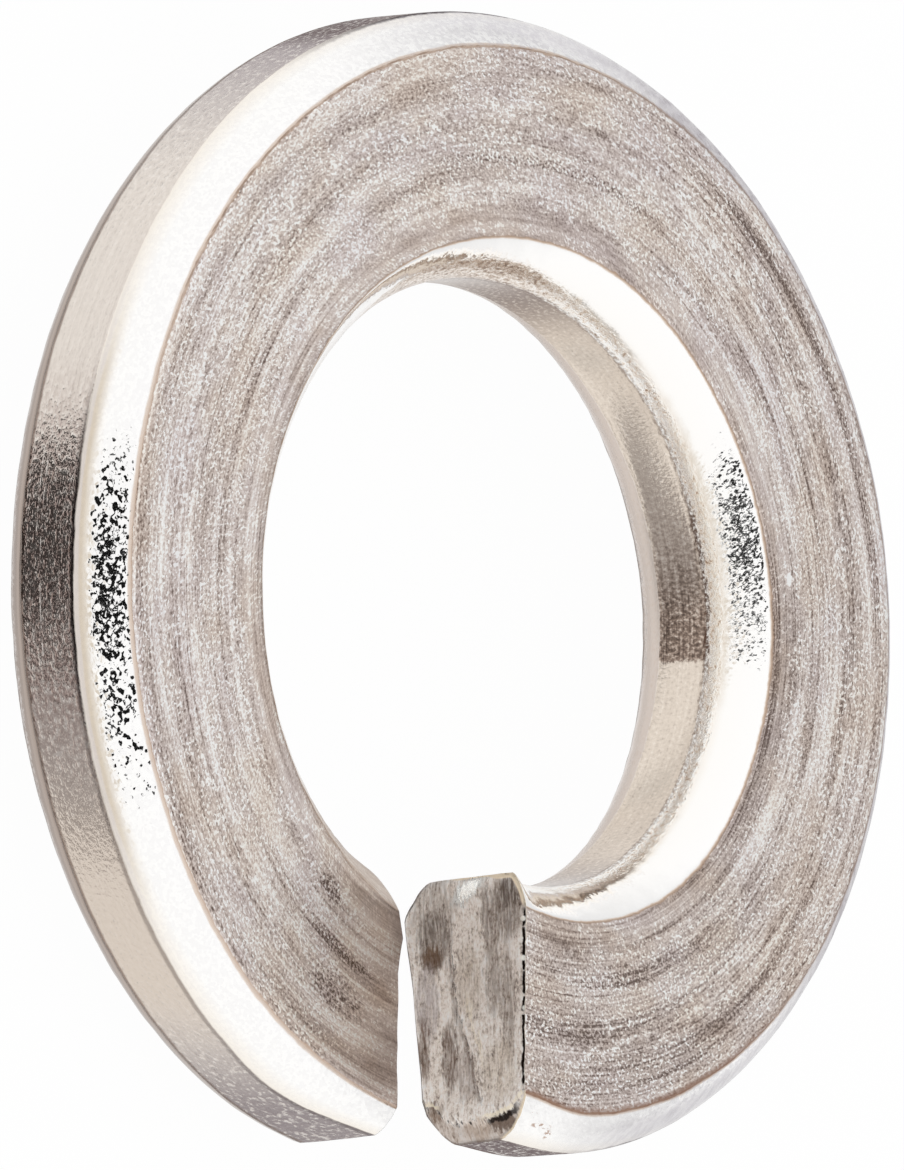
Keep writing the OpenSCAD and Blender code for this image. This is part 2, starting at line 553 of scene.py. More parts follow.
def face_pattern(n, wire_at, along, radius, place):
    """A face's colour and height: bright grains with painted glints, lines along the wire, slow bands and
    clouds.
    """
    grain = n.noise(n.stretch(wire_at, (30, 34, 34)), detail=2, roughness=0.62)
    spark = n.noise(n.stretch(wire_at, (25, 27, 27), (0, 9, 4)), detail=1, roughness=0.5)
    density = n.noise(n.stretch(wire_at, (1.6, 5, 5), (2, 0, 3)), detail=2, roughness=0.6)
    bands = n.noise(n.stretch(wire_at, (0.22, 4.4, 4.4), (3, 1, 4)), detail=2, roughness=0.6)
    lines = n.noise(n.stretch(wire_at, (0.34, 24, 24)), detail=2, roughness=0.6)
    hairs = n.noise(n.stretch(wire_at, (0.8, 44, 44), (0, 7, 2)), detail=1, roughness=0.5)
    cloud = n.noise(n.stretch(wire_at, (0.8, 1.5, 1.5), (5, 2, 0)), detail=3, roughness=0.6)
    streaky = n.scaled(band(n, along, 13.4, 19.2, 1.4), -0.6, 1.0)
    margin = band(n, place, 0.585, 0.640, 0.018)
    beside_cut = n.ramp(along, WIRE_LENGTH - 1.5, WIRE_LENGTH - 0.7)
    quiet = n.times(n.scaled(margin, -0.45, 1.0), n.scaled(beside_cut, -0.55, 1.0))
    value = n.times(contrast(n, grain, 1.7, 0.0), quiet)
    value = n.plus(value, n.times(contrast(n, lines, 0.95, 0.0), streaky))
    value = n.plus(value, n.times(contrast(n, hairs, 0.65, 0.0), streaky))
    banded = n.scaled(band(n, along, 4.5, 12.5, 1.5), 0.6, 0.8)
    value = n.plus(value, n.scaled(n.minus(bands, 0.5), banded, 0.45))
    value = contrast(n, density, 0.5, value)
    # painted glints: bright specks painted into the face's colour
    painted_glint = n.times(n.ramp(spark, 0.57, 0.615), n.ramp(density, 0.36, 0.58, 0.35, 1.0))
    value = n.plus(value, n.times(painted_glint, quiet, 0.70))
    value = n.plus(value, n.ramp(along, 1.0, 20.0, -0.04, 0.10, "LINEAR"))
    value = n.minus(value, n.times(margin, 0.06))
    for centre, reach, depth in (((27.67, 4.14), (0.30, 0.13), 0.42), ((28.15, 4.60), (0.75, 0.10), 0.34),
                                 ((28.20, 5.02), (0.55, 0.26), 0.26), ((1.63, 4.37), (0.9, 0.10), 0.22),
                                 ((15.0, 4.58), (2.2, 0.09), 0.2)):
        speckled = n.times(spot(n, along, radius, centre, reach), contrast(n, grain, -5.0, 0.6))
        value = n.scaled(speckled, -depth, value)
    for first, second in (((18.30, 5.66), (17.95, 5.78)), ((18.14, 5.62), (17.98, 5.70)),
                          ((17.40, 5.26), (17.28, 5.32))):
        value = n.scaled(stroke(n, along, radius, first, second, 0.022), 0.30, value)
    value = n.scaled(spot(n, along, radius, (8.68, 4.07), (0.10, 0.05)), 1.0, value)
    face_colour = n.colours(value, [
        (0.0, (112, 97, 90)), (0.20, (168, 154, 147)), (0.38, (200, 186, 179)), (0.54, (217, 205, 199)),
        (0.74, (238, 229, 223)), (0.98, (255, 255, 253)),
    ])
    warm = n.ramp(cloud, 0.46, 0.66, 0.0, 0.30)
    face_colour = n.mix(warm, face_colour, (232, 214, 190), "MULTIPLY")
    violet = n.ramp(cloud, 0.50, 0.34, 0.0, 0.28)
    face_colour = n.mix(violet, face_colour, (226, 220, 230), "MULTIPLY")
    return face_colour, n.plus(grain, n.times(lines, streaky))


def steel(name, with_faces=True, with_edges=True):
    """The wire's steel. Where a stretch shows no face, or only a face, it leaves the rest out."""
    n = Nodes(name)
    wire_at = n.attribute("wire", "Vector")
    along, radius, height = n.add("ShaderNodeSeparateXYZ", {0: wire_at}).outputs
    profile = n.attribute("profile", "Fac")
    clean_place = n.math("DIVIDE", profile, 4.0)
    ragged = n.noise(n.stretch(wire_at, (6, 14, 14)), detail=3, roughness=0.7)
    place = n.plus(clean_place, n.scaled(ragged, 0.012, -0.006))
    if with_faces:
        face_colour, face_height = face_pattern(n, wire_at, along, radius, place)
    if not with_edges:
        return n.output(n.add("ShaderNodeBsdfPrincipled", {
            "Base Color": face_colour, "Metallic": 1.0, "Specular IOR Level": 0.0,
            "Roughness": FACE_ROUGHNESS, "Normal": n.bump(face_height, FACE_RELIEF * MICRON)}))
    torn = n.plus(clean_place, n.scaled(ragged, 0.05, -0.025))
    top_side = n.ramp(height, -0.1, 0.1)

    # zones
    rim = n.ramp(place, RIM_EDGE - 0.004, RIM_EDGE + 0.004, 1.0, 0.0)
    bore = n.ramp(place, BORE_EDGE - 0.004, BORE_EDGE + 0.004)
    wall = n.most(rim, bore)
    face = band(n, place, FACE_EDGE, BORE_FACE_EDGE, 0.002)
    bevel = n.minus(n.minus(1.0, wall), face)
    torn_stretch = band(n, along, 14.9, 19.2, 1.2)
    rough_start = n.scaled(torn_stretch, -0.085, 0.815)
    rough_strip = n.times(n.ramp(n.minus(torn, rough_start), -0.015, 0.015),
                          n.ramp(torn, 0.872, 0.892, 1.0, 0.0))

    # the other zones' own colours across the section
    across = n.colours(place, [
        (0.0, (236, 229, 221)), (0.120, (236, 228, 220)), (0.130, (250, 243, 233)),
        (0.175, (253, 249, 243)), (0.215, (255, 254, 252)), (0.354, (255, 254, 253)),
        (0.358, (226, 210, 197)), (0.371, (220, 202, 188)), (0.375, (200, 172, 150)),
        (0.6255, (176, 148, 128)), (0.632, (222, 202, 184)), (0.637, (255, 254, 253)),
        (0.775, (255, 253, 250)), (0.850, (253, 245, 234)), (0.885, (244, 236, 226)),
        (1.0, (244, 236, 226)),
    ])
    # the face's outer edge: a pale tan land on the left of the view, a thin brown line elsewhere
    land = n.times(band(n, place, 0.366, 0.378, 0.0015), n.ramp(along, 22.0, 19.5, 0.0, 0.75))
    land = n.times(land, n.ramp(ragged, 0.38, 0.60, 0.35, 1.0))
    across = n.mix(n.times(land, top_side), across, (150, 124, 106))
    # painted shade: the outer bevel is painted greyer, towards violet, over the top and right of the view
    violet_bevel_shade = n.times(n.ramp(along, 18.0, 13.5), n.ramp(along, 0.2, 2.0))
    violet_bevel_shade = n.times(violet_bevel_shade, n.ramp(place, 0.36, 0.27), 0.75)
    facets = n.add("ShaderNodeTexVoronoi", {"Vector": n.stretch(wire_at, (30, 30, 30)), "Scale": 1.0,
                                            "Smoothness": 0.30}, feature="SMOOTH_F1").outputs["Color"]
    slanting = n.add("ShaderNodeCombineXYZ", {0: n.scaled(radius, 0.9, along), 1: radius, 2: height})
    ridges = n.noise(n.stretch(slanting.outputs[0], (10, 3.5, 3.5)), detail=3, roughness=0.6)
    violet_bevel_shade = n.times(violet_bevel_shade, n.ramp(ridges, 0.36, 0.60, 0.85, 0.60))
    across = n.mix(violet_bevel_shade, across, n.mix(n.ramp(along, 8.0, 6.0), (184, 179, 187), (166, 160, 168)))
    # painted shade: the outer bevel is painted darker still over the far side of the view
    far_bevel_shade = n.times(n.ramp(along, 14.6, 12.6), n.ramp(along, 3.2, 5.2))
    far_bevel_shade = n.times(far_bevel_shade, n.times(bevel, top_side))
    far_bevel_shade = n.times(far_bevel_shade, n.ramp(place, 0.40, 0.36), n.ramp(ridges, 0.34, 0.62, 0.75, 0.50))
    across = n.mix(far_bevel_shade, across, (134, 124, 130))
    # painted shade: a dark outline along the outer bevel's edge with the rim, over the top and right of the
    # view
    edge_outline_shade = n.scaled(n.minus(ridges, 0.5), 0.03, place)
    edge_outline_shade = n.times(band(n, edge_outline_shade, 0.112, 0.150, 0.010), n.times(bevel, top_side))
    edge_outline_shade = n.times(edge_outline_shade, n.times(n.ramp(along, 18.0, 16.2), n.ramp(along, 0.3, 2.2)))
    across = n.mix(n.times(edge_outline_shade, 0.94), across, (70, 60, 66))
    # painted shade: the orange-peel facets' shading painted as a faint lavender tint on the outer bevel
    pebble_shade = n.ramp(n.add("ShaderNodeRGBToBW", {0: facets}).outputs[0], 0.34, 0.62)
    pebble_shade = n.times(pebble_shade, n.ramp(along, 17.5, 15.0, 0.10, 0.45))
    pebble_shade = n.times(pebble_shade, n.ramp(along, 0.6, 3.0, 0.15, 1.0))
    pebble_shade = n.times(pebble_shade, band(n, place, 0.135, 0.366, 0.004))
    across = n.mix(pebble_shade, across, (206, 202, 208))
    torn_grain = n.noise(n.stretch(wire_at, (14, 26, 26), (1, 0, 9)), detail=3, roughness=0.7)
    light_torn = n.colours(torn_grain, [
        (0.30, (176, 150, 130)), (0.37, (238, 224, 209)), (0.45, (252, 246, 238)), (0.58, (255, 254, 251)),
    ])
    dark_torn = n.colours(torn_grain, [
        (0.30, (134, 110, 95)), (0.42, (200, 182, 166)), (0.52, (236, 224, 212)), (0.66, (255, 251, 246)),
    ])
    torn_colour = n.mix(torn_stretch, light_torn, dark_torn)
    across = n.mix(rough_strip, across, torn_colour)
    edge_line = n.times(band(n, torn, 0.862, 0.884, 0.005), top_side)
    edge_line = n.times(edge_line, n.ramp(torn_grain, 0.64, 0.42, 0.1, 1.0))
    edge_line = n.times(edge_line, n.scaled(band(n, along, 7.7, 10.2, 0.4), 0.45, 0.5))
    # walls: specks and faint lines along the wire
    speck = n.noise(n.stretch(wire_at, (17, 17, 17), (2, 5, 1)), detail=2, roughness=0.6)
    rolled = n.noise(n.stretch(wire_at, (0.5, 30, 30), (4, 1, 1)), detail=2, roughness=0.6)
    smooth_rim = n.most(band(n, along, 19.8, 21.5, 0.6), band(n, along, 2.6, 15.4, 1.2))
    smooth_rim = n.times(smooth_rim, rim)
    wall_value = n.times(contrast(n, speck, 0.7, 0.0), n.scaled(smooth_rim, -0.6, 1.0))
    wall_value = n.plus(wall_value, 0.5)
    wall_value = contrast(n, rolled, 0.35, wall_value)
    wall_colour = n.colours(wall_value, [
        (0.15, (160, 148, 143)), (0.42, (222, 213, 204)), (0.55, (230, 221, 212)), (0.85, (252, 248, 243)),
    ])
    bore_tint = n.mix(bore, (255, 255, 255), (255, 251, 245))
    wall_colour = n.mix(1.0, wall_colour, bore_tint, "MULTIPLY")
    across = n.mix(wall, across, wall_colour)
    # the walls are duller, with bright specks, near the cuts and over the top of the view
    dull_rim = n.most(n.ramp(along, 26.6, 28.6), n.ramp(along, 19.6, 17.0))
    dull_rim = n.times(dull_rim, n.scaled(band(n, along, 2.6, 15.4, 1.2), -0.75, 1.0))
    dull_bore = n.most(n.ramp(along, 13.2, 15.0), n.ramp(along, 4.2, 2.2))
    dull = n.plus(n.times(dull_rim, rim), n.times(dull_bore, bore))
    dull = n.times(dull, n.ramp(speck, 0.68, 0.50, 0.35, 1.0))
    beige = n.times(band(n, along, 24.7, 27.2, 0.6), rim, 0.8)
    across = n.mix(beige, across, (214, 200, 186))
    # a duller stretch of the bore wall that ends abruptly
    dim_wall = n.times(n.ramp(n.scaled(ragged, 0.25, along), 7.86, 7.93), n.ramp(along, 11.2, 8.4), bore)
    dim_value = contrast(n, rolled, 0.9, contrast(n, speck, 1.7, n.ramp(along, 7.9, 10.0, 0.34, 0.66)))
    dim_colour = n.colours(dim_value, [
        (0.05, (72, 56, 48)), (0.30, (120, 100, 88)), (0.50, (166, 147, 134)), (0.75, (214, 199, 186)),
        (1.0, (246, 236, 224)),
    ])
    across = n.mix(n.times(dim_wall, 0.92), across, dim_colour)
    # painted shade: the rim painted darker along the stretch that mirrors the dark gap in the tent
    rim_dark_shade = n.times(band(n, along, 21.7, 24.4, 0.8), rim)
    rim_dark_shade = n.times(rim_dark_shade, n.ramp(speck, 0.66, 0.40, 0.15, 1.0))
    across = n.mix(n.times(rim_dark_shade, 0.85), across, (170, 148, 140))
    rim_tip = n.ramp(along, 17.5, 16.8)
    rim_dull = n.mix(n.ramp(along, 25.0, 26.0), (174, 165, 169), (128, 116, 120))
    dull_colour = n.mix(bore, n.mix(rim_tip, rim_dull, (96, 80, 86)), (128, 108, 98))
    across = n.mix(n.times(dull, 0.85), across, dull_colour)
    scratched = 0.0
    for first, second, width in (((21.4, -0.09), (23.7, -0.10), 0.010),
                                 ((21.9, -0.16), (22.6, -0.16), 0.008)):
        scratch = n.times(stroke(n, along, height, first, second, width), rim)
        scratch = n.times(scratch, n.ramp(speck, 0.40, 0.60, 0.1, 0.7))
        across = n.mix(scratch, across, (235, 228, 224))
        scratched = n.most(scratch, scratched)
    for centre, reach in (((0.17, 5.85), (0.07, 0.05)), ((0.42, 6.00), (0.05, 0.06)),
                          ((0.30, 5.93), (0.16, 0.03))):
        pit = n.times(spot(n, along, radius, centre, reach), n.times(bevel, top_side))
        across = n.mix(n.times(pit, n.ramp(speck, 0.50, 0.40, 0.0, 0.8)), across, (170, 132, 106))
    across = n.mix(edge_line, across, (84, 56, 40))
    # painted shade under the upper edge of the rim, and painted dark outlines along the edges that bound each
    # bevel
    under_edge_shade = n.times(band(n, place, 0.106, 0.128, 0.007), n.ramp(along, 21.0, 22.4))
    under_edge_shade = n.times(under_edge_shade, top_side, 0.45)
    across = n.mix(under_edge_shade, across, (64, 50, 48))
    # painted shade: a black line under the rim's edge along the stretch that mirrors the dark gap
    rim_edge_shade = n.times(band(n, place, 0.115, 0.129, 0.006), band(n, along, 21.7, 24.1, 0.7))
    across = n.mix(n.times(rim_edge_shade, top_side, 0.95), across, (30, 22, 24))
    # painted shade: a dark line along the underside's rim edge
    back_edge_shade = n.times(band(n, place, 0.112, 0.134, 0.006), n.minus(1.0, top_side))
    across = n.mix(n.times(back_edge_shade, 0.75), across, (112, 88, 74))
    # painted shade: the underside's bevels painted darker than the top ones
    back = n.times(n.minus(1.0, top_side), bevel)
    back_steel = n.mix(n.ramp(place, 0.4, 0.6), (164, 148, 138), (206, 192, 182))
    across = n.mix(n.times(back, 0.9), across, back_steel)
    # painted shade: darker bands across the underside's bevels
    back_outline_shade = n.times(back, band(n, place, 0.240, 0.730, 0.030))
    back_outline_shade = n.times(back_outline_shade, n.minus(1.0, band(n, place, 0.325, 0.635, 0.020)))
    back_outline_shade = n.times(back_outline_shade, n.ramp(ragged, 0.34, 0.60, 0.35, 0.75))
    across = n.mix(back_outline_shade, across, (108, 88, 76))
    colour = n.mix(face, across, face_colour) if with_faces else across
    stained = n.times(band(n, place, 0.364, 0.380, 0.004), n.ramp(along, 4.4, 2.8))
    colour = n.mix(n.times(stained, top_side, 0.65), colour, (146, 106, 84))
    thin_bevel = n.times(n.ramp(along, THIN_BEVEL_START, 27.5), n.ramp(place, 0.5, 0.6),
                         n.times(bevel, top_side))
    if with_faces:
        colour = n.mix(n.times(thin_bevel, 0.9), colour, n.mix(0.5, (186, 168, 152), face_colour))

    tilt = n.add("ShaderNodeVectorMath", {0: facets, 1: (0.5, 0.5, 0.5)}, operation="SUBTRACT").outputs[0]
    peel = n.noise(n.stretch(wire_at, (26, 26, 26)), detail=1.0, roughness=0.45)
    rim_polish = n.times(band(n, place, 0.190, 0.366, 0.02),
                         n.scaled(band(n, along, 22.0, 25.0, 0.5), 0.70, 0.30))
    bore_patch = n.times(n.ramp(along, 7.2, 8.0), n.ramp(along, 11.3, 10.2))
    bore_patch = n.times(bore_patch, n.ramp(along, 9.2, 8.1, 1.0, 1.7))
    bore_polish = n.times(band(n, place, 0.645, 0.790, 0.025), n.scaled(bore_patch, 0.85, 0.15))
    polish = n.plus(rim_polish, bore_polish)
    tilt = n.add("ShaderNodeVectorMath", {0: tilt, "Scale": n.times(polish, 0.34)},
                 operation="SCALE").outputs[0]
    surface = n.add("ShaderNodeNewGeometry").outputs["Normal"]
    normal = n.add("ShaderNodeVectorMath", {0: surface, 1: tilt}, operation="ADD").outputs[0]
    normal = n.add("ShaderNodeVectorMath", {0: normal}, operation="NORMALIZE").outputs[0]
    # relief in micrometres, all in one bump
    wall_height = n.plus(n.times(speck, 1.4), n.times(rolled, 0.3))
    wall_scale = n.scaled(rim, 16.0, n.times(bore, 1.5))
    relief = n.times(wall_height, wall_scale)
    if with_faces:
        relief = n.scaled(n.times(face_height, face), FACE_RELIEF, relief)
    relief = n.scaled(n.times(torn_grain, rough_strip), 6.0, relief)
    relief = n.scaled(n.times(peel, polish), 4.0, relief)
    normal = n.bump(relief, MICRON, normal)

    gloss = n.add("ShaderNodeValToRGB", {"Fac": place})
    stops = [(0.0, 0.15), (0.12, 0.15), (0.135, 0.14), (0.20, 0.10), (0.36, 0.09), (0.37, 0.5),
             (0.38, FACE_ROUGHNESS), (0.62, FACE_ROUGHNESS), (0.63, 0.5), (0.64, 0.09),
             (0.76, 0.10), (0.80, 0.20), (0.88, 0.13), (1.0, 0.13)]
    elements = gloss.color_ramp.elements
    for number, (position, level) in enumerate(stops):
        element = elements[number] if number < 2 else elements.new(position)
        element.position = position
        element.color = (level, level, level, 1)
    # less metallic under the painted shades, the dull walls, the scratches and the thin bevel, so their
    # colour shows
    matt = n.most(n.times(far_bevel_shade, 0.8), n.times(violet_bevel_shade, 0.45))
    matt = n.most(matt, n.times(dull, rim, n.ramp(along, 19.5, 17.4, 0.5, 0.95)))
    matt = n.most(matt, scratched, n.times(thin_bevel, 0.8))
    matt = n.most(matt, n.times(n.most(edge_outline_shade, back_outline_shade), 0.95))
    shader = n.add("ShaderNodeBsdfPrincipled", {"Base Color": colour, "Metallic": n.minus(1.0, matt),
                                                "Specular IOR Level": 0.0, "Normal": normal})
    gloss_level = n.add("ShaderNodeRGBToBW", {0: gloss.outputs[0]}).outputs[0]
    softer = n.times(bore_patch, band(n, place, 0.645, 0.790, 0.025))
    n.put(shader, "Roughness", n.scaled(softer, 0.06, gloss_level))
    return n.output(shader)


def stroke(n, along, radius, first, second, width):
    """1 on a short line between two places on the face, falling to 0 at its width."""
    run = (second[0] - first[0], second[1] - first[1])
    length = math.hypot(*run)
    from_first = (n.minus(along, first[0]), n.minus(radius, first[1]))
    forward = n.plus(n.times(from_first[0], run[0] / length), n.times(from_first[1], run[1] / length))
    aside = n.minus(n.times(from_first[0], run[1] / length), n.times(from_first[1], run[0] / length))
    past = n.most(n.minus(forward, length), n.times(forward, -1.0))
    away = n.most(past, n.math("ABSOLUTE", aside))
    return n.ramp(away, width, width * 0.2)


def spot(n, radius, height, centre, reach):
    """1 at a place on the cut, falling smoothly to 0 at its reach."""
    across = n.math("DIVIDE", n.minus(radius, centre[0]), reach[0])
    up = n.math("DIVIDE", n.minus(height, centre[1]), reach[1])
    away = n.plus(n.times(across, across), n.times(up, up))
    return n.ramp(away, 1.0, 0.25)


def polyline(n, value, places, levels):
    """A curve through (place, level) points, both in mm, as a node's output."""
    low, high = places[0], places[-1]
    node = n.add("ShaderNodeFloatCurve", {"Value": n.ramp(value, low, high, kind="LINEAR")})
    curve = node.mapping.curves[0]
    base = min(levels)
    for number, (place, level) in enumerate(zip(places, levels)):
        at = ((place - low) / (high - low), level - base)
        point = curve.points[0] if number == 0 else curve.points.new(*at)
        point.location = at
        point.handle_type = "VECTOR"
    last = curve.points[len(curve.points) - 1]
    last.location = (1.0, levels[-1] - base)
    node.mapping.update()
    return n.plus(node.outputs[0], base)


# Marks on the high end's cut: centre (radius, height), reach, colour and strength.
CUT_MARKS = (
    ((3.62, -0.52), (0.42, 0.42), (150, 138, 130), 0.50),  # upper left, dirty
    ((3.92, -0.52), (0.34, 0.34), (128, 116, 108), 0.75),  # blotch
    ((4.14, -0.58), (0.17, 0.24), (134, 110, 92), 0.90),  # its brown tip
    ((4.60, -0.66), (0.52, 0.22), (212, 204, 204), 0.85),  # smooth grey patch
    ((4.42, 0.02), (0.46, 0.26), (226, 215, 203), 0.75),  # smooth tan patch
    ((3.70, 0.62), (0.44, 0.32), (122, 104, 91), 0.72),  # dark upper right
    ((3.56, 0.66), (0.20, 0.20), (92, 76, 65), 0.65),
    ((3.74, 0.30), (0.34, 0.12), (120, 102, 90), 0.65),  # dark streak beside the flake
    ((4.35, 0.40), (0.60, 0.16), (140, 122, 109), 0.60),  # dark streaks down the right
    ((4.75, 0.62), (0.75, 0.14), (150, 134, 122), 0.60),
    ((5.20, -0.33), (0.46, 0.15), (128, 104, 90), 0.86),  # brown run
    ((5.40, -0.10), (0.34, 0.16), (176, 160, 152), 0.60),
    ((5.10, -0.74), (0.42, 0.12), (128, 102, 86), 0.86),  # brown edge, lower left
    ((5.40, 0.48), (0.42, 0.34), (238, 228, 215), 0.65),  # smooth pale patch, lower right
    ((5.76, -0.60), (0.10, 0.20), (130, 104, 84), 0.80),  # brown at the foot
    # painted shade: the dark corner under the broken step
    ((5.92, 0.44), (0.12, 0.22), (98, 82, 72), 0.90),  # dark corner under the broken step
    ((5.98, 0.02), (0.14, 0.26), (214, 194, 176), 0.70),
)
CRACK_RADII = (3.9, 4.08, 4.37, 4.77, 5.20, 5.52, 5.74, 5.9)
CRACK_HEIGHTS = (-0.30, -0.26, -0.23, -0.16, 0.0, 0.07, 0.18, 0.24)


def sheared():
    n = Nodes("sheared_steel")
    wire_at = n.attribute("wire", "Vector")
    inset = n.attribute("inset", "Fac")
    along, radius, height = n.add("ShaderNodeSeparateXYZ", {0: wire_at}).outputs
    high_end = n.ramp(along, 1.0, 2.0, 1.0, 0.0)
    wobble = n.noise(n.stretch(wire_at, (5, 5, 15)), detail=4, roughness=0.75)
    step_wobble = n.noise(n.stretch(wire_at, (5, 7, 11)), detail=4, roughness=0.75)
    strands = n.noise(n.stretch(wire_at, (1, 4.5, 30), (0, 6, 3)), detail=3, roughness=0.65)
    torn_strands = n.ramp(strands, 0.36, 0.60, 0.40, 1.0)
    edge_radius = contrast(n, wobble, 0.42, radius)
    edge_height = contrast(n, wobble, -0.34, height)
    fibres = n.noise(n.stretch(wire_at, (1, 3.4, 19)), detail=4, roughness=0.7)
    mottle = n.noise(n.stretch(wire_at, (1, 7, 10), (0, 2, 5)), detail=3, roughness=0.65)
    grain = n.noise(n.stretch(wire_at, (30, 24, 34)), detail=2, roughness=0.6)
    cloud = n.noise(n.stretch(wire_at, (1, 1.4, 2.6), (0, 3, 1)), detail=2, roughness=0.5)
    value = contrast(n, fibres, 0.95, 0.46)
    value = contrast(n, mottle, 0.95, value)
    value = contrast(n, grain, 0.85, value)
    value = contrast(n, cloud, 0.50, value)
    colour = n.colours(value, [
        (0.02, (104, 90, 82)), (0.20, (180, 168, 159)), (0.35, (226, 216, 208)), (0.48, (247, 240, 234)),
        (0.66, (253, 250, 247)), (0.90, (255, 255, 255)),
    ])
    textured = n.colours(n.plus(contrast(n, fibres, 1.5, 0.5), contrast(n, grain, 1.1, 0.0)), [
        (0.10, (120, 110, 104)), (0.40, (206, 200, 196)), (0.62, (250, 248, 246)), (0.85, (255, 255, 255)),
    ])
    for centre, reach, tint, strength in CUT_MARKS:
        amount = n.times(spot(n, edge_radius, edge_height, centre, reach), strength)
        if strength < 0.88:
            amount = n.times(amount, torn_strands)
        marked = n.mix(0.62, tint, n.mix(1.0, tint, textured, "MULTIPLY"))
        colour = n.mix(n.times(amount, high_end), colour, marked)
    # a flake lifted towards the light near the bore
    flake_radius = contrast(n, strands, 0.30, n.scaled(height, 0.35, radius))
    flake_height = contrast(n, mottle, 0.24, height)
    flake = n.times(spot(n, flake_radius, flake_height, (3.49, 0.03), (0.13, 0.28)), high_end)
    colour = n.mix(flake, colour, (255, 254, 250))
    # the tear down the middle: painted shade to one side and a painted dark line in its crack, with a pale
    # ridge beside it
    step_radius = contrast(n, step_wobble, 0.14, radius)
    from_tear = n.minus(polyline(n, radius, CRACK_RADII, CRACK_HEIGHTS), edge_height)
    down_cut = n.times(band(n, radius, 4.02, 5.70, 0.12), high_end)
    shade = n.times(n.ramp(from_tear, -0.015, 0.02), n.ramp(from_tear, 0.15, 0.03))
    shade = n.times(shade, torn_strands)
    colour = n.mix(n.times(shade, down_cut, 0.60), colour, (126, 108, 98))
    # painted shade: the crack's dark line
    crack = n.times(band(n, from_tear, -0.012, 0.014, 0.012), n.ramp(mottle, 0.40, 0.52))
    colour = n.mix(n.times(crack, down_cut, 0.8), colour, (84, 70, 62))
    ridge = n.times(band(n, from_tear, -0.20, -0.15, 0.03), band(n, radius, 4.6, 5.3, 0.15))
    colour = n.mix(n.times(ridge, high_end, 0.5), colour, (255, 246, 226))
    # the broken step at the foot: a pale lip painted as a highlight, over a dark, partly open edge painted as
    # shadow
    past_step = n.minus(step_radius, polyline(n, height, STEP_HEIGHTS, STEP_RADII))
    foot = n.times(n.ramp(past_step, 0.02, 0.05, 0.0, 0.40), high_end)
    colour = n.mix(foot, colour, (166, 144, 128))
    step_lip_highlight = n.times(band(n, past_step, -0.060, -0.012, 0.012), n.ramp(mottle, 0.36, 0.50))
    step_lip_highlight = n.times(step_lip_highlight, n.most(n.ramp(height, 0.10, 0.25), n.ramp(height, -0.45, -0.60)))
    colour = n.mix(n.times(step_lip_highlight, high_end, 0.85), colour, (255, 246, 228))
    open_edge_shadow = n.times(band(n, past_step, -0.006, 0.040, 0.010),
                       n.most(band(n, height, 0.24, 0.70, 0.05), n.ramp(mottle, 0.50, 0.62)))
    colour = n.mix(n.times(open_edge_shadow, high_end, 0.9), colour, (36, 26, 22))
    # the face's burr: a dark broken gap painted as shade in its groove, with a bright lip and bright dots
    # painted as highlights
    taper = (OUTER_THICKNESS - INNER_THICKNESS) / 2 / (RIM_RADIUS - BORE_RADIUS)
    edge_gap = n.minus(n.scaled(n.minus(radius, BORE_RADIUS), taper,
                                         INNER_THICKNESS / 2), height)
    wavy_gap = contrast(n, mottle, 0.085, edge_gap)
    broken = n.noise(n.stretch(wire_at, (1, 9, 0.1)), detail=2, roughness=0.6)
    gap = n.times(band(n, wavy_gap, 0.015, 0.051, 0.007), band(n, radius, 3.74, 5.62, 0.03))
    gap = n.times(gap, n.ramp(broken, 0.36, 0.42))
    colour = n.mix(n.times(gap, high_end), colour, (30, 20, 16))
    for dot in (3.84, 4.25, 4.77, 5.46):
        colour = n.mix(n.times(spot(n, radius, height, (dot, 0.865), (0.035, 0.045)), high_end), colour,
                       (255, 253, 246))
    lip = n.times(n.ramp(edge_gap, 0.018, 0.010), band(n, radius, 3.70, 5.66, 0.05))
    colour = n.mix(n.times(lip, 0.8), colour, (255, 244, 230))
    # edges of the cut: painted highlights where the bevels and the bore wall meet it, painted shade round the
    # back
    corner = n.times(n.ramp(radius, 3.80, 3.66), n.ramp(height, 0.30, 0.50))
    at_edge = n.ramp(n.scaled(corner, -0.042, inset), 0.030, 0.010)
    bright_side = n.most(n.times(n.ramp(radius, 3.75, 3.65), n.ramp(height, -0.30, -0.10)),
                         n.times(n.ramp(radius, 5.60, 5.68), n.ramp(height, 0.30, 0.40)))
    colour = n.mix(n.times(at_edge, bright_side, 0.9), colour, (255, 240, 216))
    shaded_side = n.most(n.ramp(height, -0.60, -0.75), n.ramp(radius, 5.95, 6.05))
    shaded_side = n.times(shaded_side, n.minus(1.0, bright_side))
    colour = n.mix(n.times(at_edge, shaded_side, 0.55), colour, (92, 74, 66))
    # heights, in metres: fibres and lumps, the flake tipped to the light, and the rounded edges
    normal = n.bump(n.plus(n.scaled(grain, 0.30, fibres), mottle), 0.000036)
    lift = n.scaled(n.minus(radius, 3.5), 0.35, n.times(n.minus(height, 0.1), -0.9))
    normal = n.bump(n.times(lift, flake), MM, normal)
    normal = n.bump(n.ramp(inset, 0.0, 0.045), 0.040 * MM, normal)
    shader = n.add("ShaderNodeBsdfPrincipled", {
        "Base Color": colour, "Metallic": 1.0, "Roughness": n.scaled(flake, -0.42, 0.60), "Normal": normal,
    })
    return n.output(shader)


for material in (steel("tumbled_steel"), sheared(), steel("face_steel", with_edges=False),
                 steel("edge_steel", with_faces=False)):
    wire.data.materials.append(material)
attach(wire, "root")
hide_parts(NODE)


